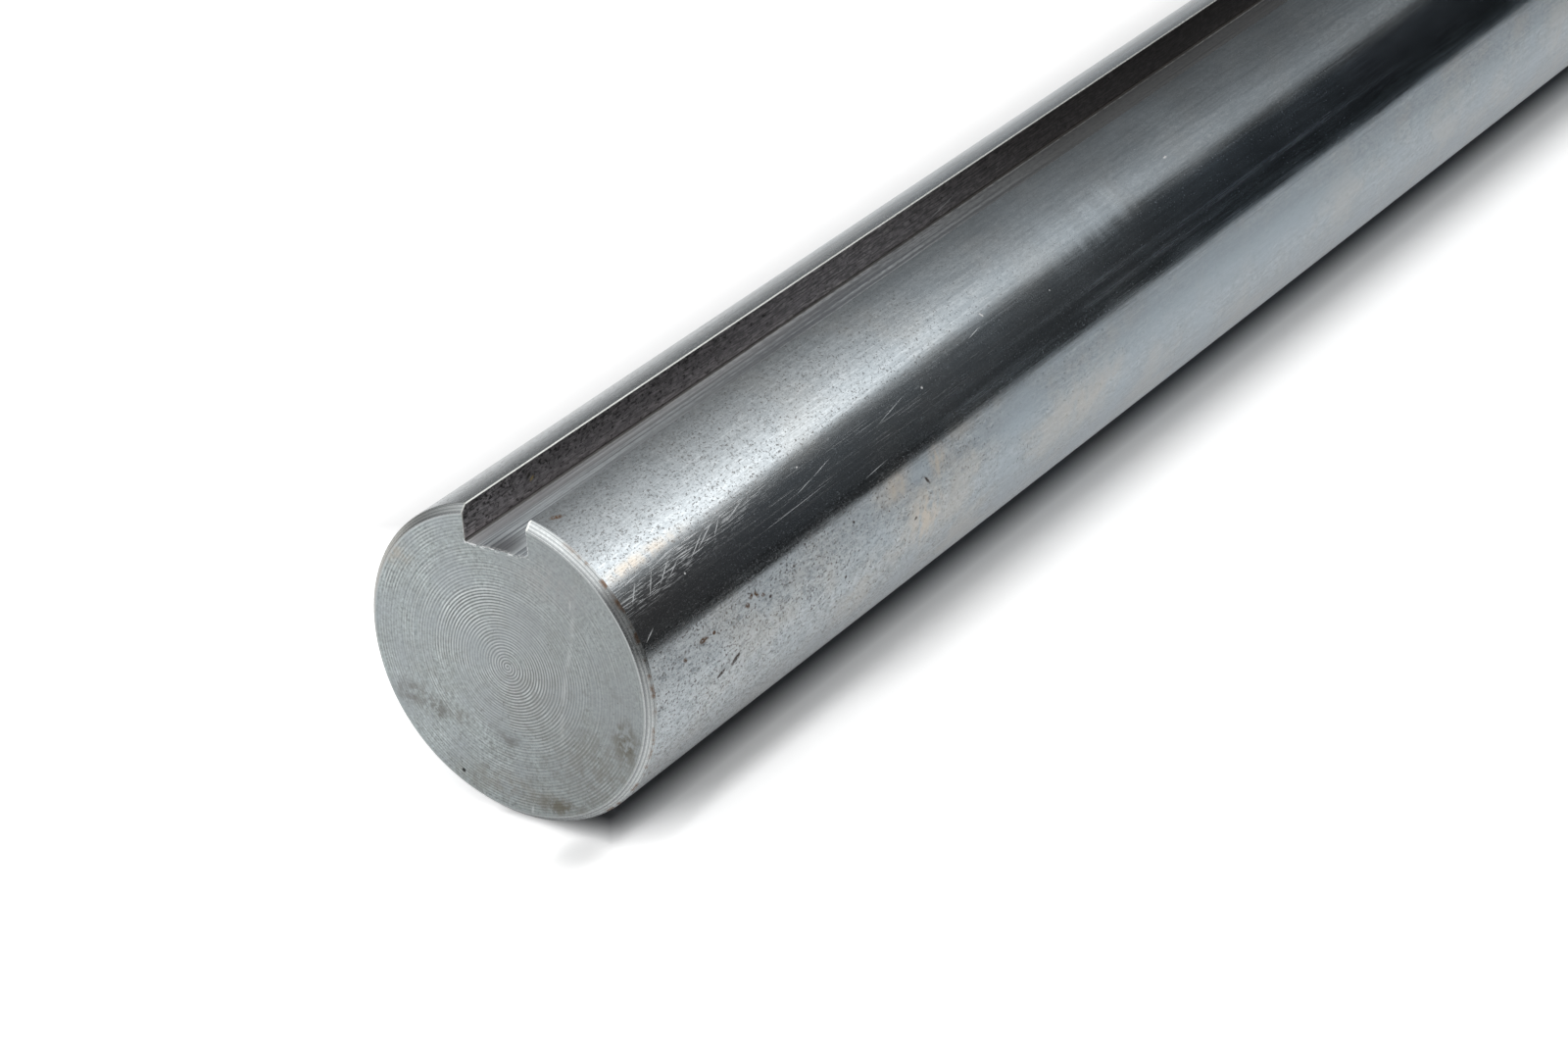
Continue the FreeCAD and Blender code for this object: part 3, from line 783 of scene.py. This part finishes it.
# The white grows with the distance from the shaft. Past its ends that distance counts for more
# behind the shaft than before it, where the shadow falls.
front_reach = paper.ramp(from_end, (-43, 0), (-28, 7), (-14, 9), (-4, 10.5), (0, 12), (400, 292))
front_reach = paper.times(front_reach, paper.ramp(sideways, (-13, 1), (-10.2, 0)))
front_reach = paper.most(front_reach, paper.ramp(from_end, (-16, 0), (400, 292)))
back_reach = paper.ramp(from_end, (-16, 0), (384, 680))
past_end = paper.blend(paper.ramp(sideways, (-8, 0), (0, 0.4), (4, 1)), front_reach, back_reach)
away = paper.length(past_end, sideways)
glow = paper.ramp(away, (0, 0), (10.5, 0.01), (12, 0.12), (13, 0.22), (16, 0.44), (30, 0.60),
                  (45, 0.78), (200, 1.0))
open_floor = paper.most(beyond, paper.ramp(sideways, (-10, 1), (-7.5, 0), (-3, 0), (3, 1)))
glow = paper.times(glow, open_floor)

# A painted soft grey shadow along the edge behind the bar, and a painted small shadow at the near end's foot,
# made by holding back the white
painted_shadow_behind_bar = paper.ramp(sideways, (-2, 1), (0, 0.20), (41.5, 0.20), (43.2, 0.26), (44.4, 0.31),
                        (45.8, 0.36), (60, 1.0))
glow = paper.math("MINIMUM", glow, paper.most(painted_shadow_behind_bar, by_ends))
painted_foot_shadow = paper.spot(floor_place, (-SHAFT_HALF - 2.0 * MM, -7.6 * MM), (8.8 * MM, 6.0 * MM), edge=0.95)
glow = paper.math("MINIMUM", glow, paper.math("SUBTRACT", 1.0, paper.times(painted_foot_shadow, 0.9)))
seen = paper.most(sight["Is Camera Ray"], sight["Is Transmission Ray"])

# A painted glow on the paper close beside the shaft, which only the metal sees, and less of it by the near
# end
painted_glow_for_metal = paper.ramp(beside, (0, 0), (10.5, 0.003), (13, 0.05), (16, 0.097), (20, 0.07), (26, 0.04),
                      (32, 0.02), (42, 0), (500, 0))
close_in = paper.times(paper.ramp(beside, (0, 0.15), (8.5, 0.15), (12.5, 0.06), (15.5, 0)),
                       paper.ramp(from_near, (0, 0.1), (21, 0.25), (43, 0.7), (71, 1), (BAR_END, 1)))
painted_glow_for_metal = paper.times(paper.plus(painted_glow_for_metal, close_in), sight["Is Glossy Ray"])

# The paper's tone, with a painted shadow that the camera alone sees right under the bar and along its back
# edge
outside_painted_shadow = paper.ramp(sideways, (-9.5, 1), (-6.2, 0), (-3, 0), (3, 0.80), (43, 0.80), (46, 0.86), (56, 1))
back_end = paper.times(by_ends, paper.ramp(sideways, (-3, 0), (3, 1)))
out_of_sight = paper.math("SUBTRACT", 1.0, sight["Is Camera Ray"])
outside_painted_shadow = paper.most(beyond, outside_painted_shadow, back_end, out_of_sight)
# A painted band of shade on the paper before the shaft, darkest 45 to 90 mm out, which the metal mirrors
tone_with_painted_shade = paper.ramp(sideways, (-600, 0.9), (-150, 0.88), (-90, 0.68), (-45, 0.66), (-20, 0.9), (0, 0.9))
paper.surface(Base_Color=paper.blend(outside_painted_shadow, PAINTED_SHADOW, tone_with_painted_shade), Roughness=1.0, Specular_IOR_Level=0.0,
              Emission_Color=WHITE, Emission_Strength=paper.plus(paper.times(seen, glow), painted_glow_for_metal))
floor.data.materials.append(paper.owner)


# The light tent is a half-round of white cloth over the shaft, out of the camera's sight. On
# the camera's side it is bright overhead and nearly dark low down, and it is grey behind.
TENT_RADIUS = 0.45
TENT_LENGTH = 3.0
TENT_SIDES = 128

bpy.ops.object.select_all(action="DESELECT")
bpy.ops.mesh.primitive_cylinder_add(vertices=TENT_SIDES, radius=TENT_RADIUS, depth=TENT_LENGTH,
                                    end_fill_type="NOTHING", rotation=(0, math.pi / 2, 0))
tent = bpy.context.object
tent.name = "light_tent"
bpy.ops.object.transform_apply(location=True, rotation=True, scale=True)
bpy.ops.object.mode_set(mode="EDIT")
bpy.ops.mesh.select_all(action="SELECT")
bpy.ops.mesh.bisect(plane_co=(0, 0, low.z + MM), plane_no=(0, 0, 1), clear_inner=True)
bpy.ops.object.mode_set(mode="OBJECT")

# The cloth's brightness by how far it leans from overhead, in degrees, and along the tent
cloth = Finish(bpy.data.materials.new("tent_cloth"))
tent_place = cloth.add("ShaderNodeTexCoord").outputs["Object"]
tent_along, tent_across, tent_up = cloth.add("ShaderNodeSeparateXYZ", Vector=tent_place).outputs
lean = cloth.math("DEGREES", cloth.math("ARCTAN2", cloth.times(tent_across, -1.0), tent_up))
plain = cloth.ramp(lean, (-95, 0), (-60, 0), (-30, 0.28), (0, 0.27), (46, 0.22), (58, 0.15), (66, 0.13),
                   (74, 0.10), (82, 0.085), (95, 0.08))
plain_fade = cloth.ramp(tent_along, (-0.8, 1.8), (-0.4, 1.4), (0.1, 1.1), (0.31, 1.0), (0.37, 0.85),
                        (0.444, 0.47), (0.556, 0.2), (1.2, 0.2))
lean_edge = cloth.ramp(tent_along, (0.24, -3.0), (0.31, 2.5), (0.37, 4.0), (0.444, 6.0), (0.60, 6.5))
bright = cloth.ramp(cloth.plus(lean, lean_edge), (-95, 0), (-18, 0), (-8, 0.2), (2, 0.45), (10, 0.66),
                    (18, 0.84), (26, 1.18), (34, 1.62), (44, 1.72), (49, 0.15), (56, 0), (103, 0))
bright_fade = cloth.ramp(tent_along, (-0.8, 0.55), (-0.5, 0.6), (0.26, 1.0), (0.315, 0.9), (0.37, 0.87),
                         (0.40, 0.60), (0.445, 0.31), (0.556, 0.20), (0.68, 0.13), (1.2, 0.1))
front = cloth.ramp(lean, (-95, 0), (-78, 0.05), (-63, 0.4), (-45, 0.7), (-25, 1.0), (-8, 1.2), (10, 0.8),
                   (28, 0), (95, 0))
front_fade = cloth.ramp(tent_along, (-1.5, 0.6), (-0.6, 1.0), (-0.25, 1.0), (0, 0.5), (0.2, 0), (1.5, 0))
behind = cloth.ramp(lean, (-95, 0.62), (-87, 0.43), (-81, 0.24), (-72, 0.22), (-60, 0.27), (-30, 0.05),
                    (-14, 0.04), (0, 0), (95, 0))
behind_fade = cloth.ramp(tent_along, (0.3, 1.0), (0.6, 1.2))
glare = cloth.plus(cloth.times(plain, plain_fade), cloth.times(bright, bright_fade),
                   cloth.times(front, front_fade), cloth.times(behind, behind_fade))
light = cloth.add("ShaderNodeEmission", Color=WHITE, Strength=glare)
cloth.put(cloth.tree.nodes["Material Output"].inputs["Surface"], light.outputs["Emission"])
tent.data.materials.append(cloth.owner)
tent.visible_camera = False


# A low black card stands beside the shaft on the camera's side. It shows only in the metal,
# where it gives the foot of the dark band along the round a clean edge.
CARD_AWAY = 8.5 * SHAFT_RADIUS
CARD_RISE = 1.6 * SHAFT_RADIUS
CARD_LENGTH = 1.6
CARD_MIDDLE = 0.3
CARD_BLACK = (0.05, 0.05, 0.05, 1)

bpy.ops.object.select_all(action="DESELECT")
bpy.ops.mesh.primitive_plane_add(size=1, location=(CARD_MIDDLE, -CARD_AWAY, low.z + CARD_RISE / 2),
                                 rotation=(math.pi / 2, 0, 0))
card = bpy.context.object
card.name = "black_card"
card.scale = (CARD_LENGTH, CARD_RISE, 1)
bpy.ops.object.transform_apply(location=True, rotation=True, scale=True)
black = Finish(bpy.data.materials.new("black_card"))
black.surface(Base_Color=CARD_BLACK, Roughness=1.0, Specular_IOR_Level=0.0)
card.data.materials.append(black.owner)
card.visible_camera = False
card.visible_diffuse = False
card.visible_shadow = False


# The studio round it all is plain white, to the camera and in the metal. Its light comes in
# through the tent's open ends, a little weaker than it looks.
STUDIO_LIGHT = 0.7

studio = Finish(bpy.data.worlds.new("studio"))
bpy.context.scene.world = studio.owner
sight = studio.add("ShaderNodeLightPath").outputs
in_sight = studio.most(sight["Is Camera Ray"], sight["Is Glossy Ray"], sight["Is Transmission Ray"])
strength = studio.add("ShaderNodeMapRange", Value=in_sight, To_Min=STUDIO_LIGHT, To_Max=1.0).outputs["Result"]
backdrop = studio.tree.nodes["Background"]
studio.put(backdrop.inputs["Color"], WHITE)
studio.put(backdrop.inputs["Strength"], strength)
